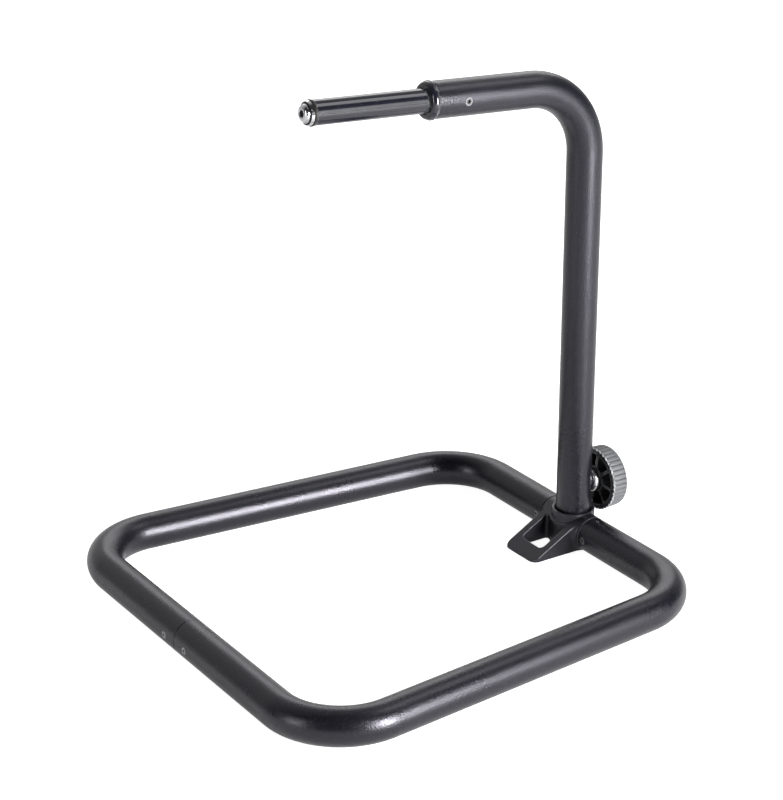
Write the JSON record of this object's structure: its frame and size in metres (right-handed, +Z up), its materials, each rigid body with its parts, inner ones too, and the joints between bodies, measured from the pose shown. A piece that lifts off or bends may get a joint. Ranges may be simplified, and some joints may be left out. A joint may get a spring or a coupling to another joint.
{
  "type": "bike repair stand",
  "caption": "Floor stand that holds a bicycle by its hollow crank spindle: a tubular floor loop, a bent upright post locked by a clamp knob, and a turning peg at the arm's end.",
  "frame": {"origin": "on the floor under the upright post's axis, on the foot casting's flat underside", "axes": "+Z up; the floor loop and the peg run towards -X from the post, and the clamp knob is on the +X side; +Y is the loop's left side"},
  "size_m": [0.3931, 0.373, 0.3952],
  "materials": {
    "powder_coat": "fine-textured satin powder coat, charcoal",
    "cast_paint": "smooth satin black paint on a casting",
    "bare_steel": "machined",
    "zinc_screws": "bright zinc plate",
    "black_screws": "black oxide",
    "black_anodised": "glossy black anodised",
    "chrome_plate": "polished chrome plate",
    "bush_brass": "machined bearing bronze",
    "black_plastic": "moulded black nylon, slight gloss",
    "grey_rubber": "matte light grey moulded grip",
    "black_rubber": "smooth black rubber"
  },
  "bodies": {
    "base": {"base_tube_left": "powder_coat", "base_tube_right": "powder_coat", "seam_sleeve": "bare_steel", "seam_screw_left": "zinc_screws", "seam_screw_right": "zinc_screws", "foot_casting": "cast_paint", "casting_screw_left": "black_screws", "casting_screw_right": "black_screws", "threaded_insert": "bare_steel"},
    "post": {"post_tube": "powder_coat", "arm_screw": "zinc_screws", "peg_holder": "black_anodised", "peg_axle": "bare_steel", "thrust_washer": "black_plastic", "end_ring": "black_rubber", "end_washer": "chrome_plate", "end_bolt": "chrome_plate"},
    "peg": {"peg_sleeve": "black_anodised", "inner_bush": "bush_brass", "outer_bush": "bush_brass"},
    "clamp": {"clamp_washer": "chrome_plate", "slip_washer": "black_plastic"},
    "knob": {"knob_core": "black_plastic", "knob_grip": "grey_rubber", "knob_bolt": "bare_steel", "knob_cap": "black_plastic"}
  },
  "joints": [
    {"name": "post_lift", "type": "slide", "parent": "base", "child": "post", "axis": [0, 0, 1], "range_m": [0, 0.058]},
    {"name": "peg_spin", "type": "hinge", "parent": "post", "child": "peg", "pos_m": [-0.19117, 0, 0.38303], "axis": [-0.998, 0, 0.0628], "continuous": true},
    {"name": "clamp_travel", "type": "slide", "parent": "base", "child": "clamp", "axis": [1, 0, 0], "range_m": [0, 0.00375]},
    {"name": "knob_turn", "type": "hinge", "parent": "clamp", "child": "knob", "pos_m": [0.0275, 0, 0.0476], "axis": [1, 0, 0], "range_deg": [0, 1085]}
  ],
  "couplings": [
    {"joint": "knob_turn", "follows": "clamp_travel", "rad_per_m": 5026.5}
  ]
}
